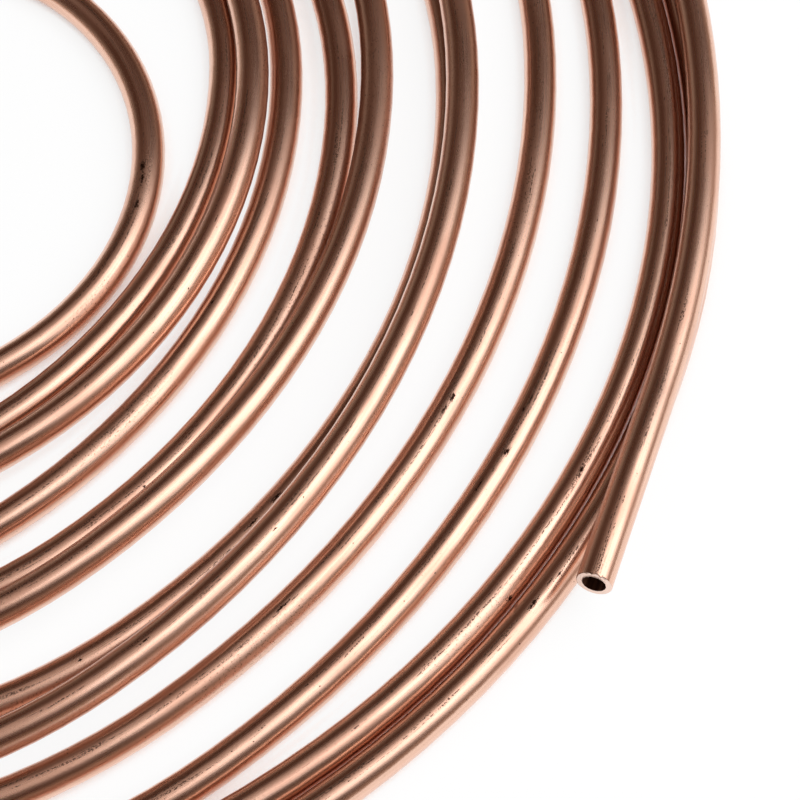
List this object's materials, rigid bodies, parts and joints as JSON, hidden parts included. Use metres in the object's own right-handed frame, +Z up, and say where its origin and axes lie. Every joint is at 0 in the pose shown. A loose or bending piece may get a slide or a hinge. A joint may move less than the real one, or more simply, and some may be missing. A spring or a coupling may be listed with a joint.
{
  "type": "copper tube coil",
  "caption": "Loose flat coil of bright soft copper tube, thick-walled and open at both ends, with a straight length at the inner and the outer end.",
  "frame": {"origin": "on the floor under the middle of the coil's outline", "axes": "+Z up, square to the flat coil; +X to the right and +Y to the back, the outer end lying to the front right"},
  "size_m": [0.372, 0.3638, 0.0158],
  "materials": {
    "copper": "bright drawn copper, lightly worn"
  },
  "bodies": {
    "root": {"copper_tube": "copper"}
  },
  "joints": []
}
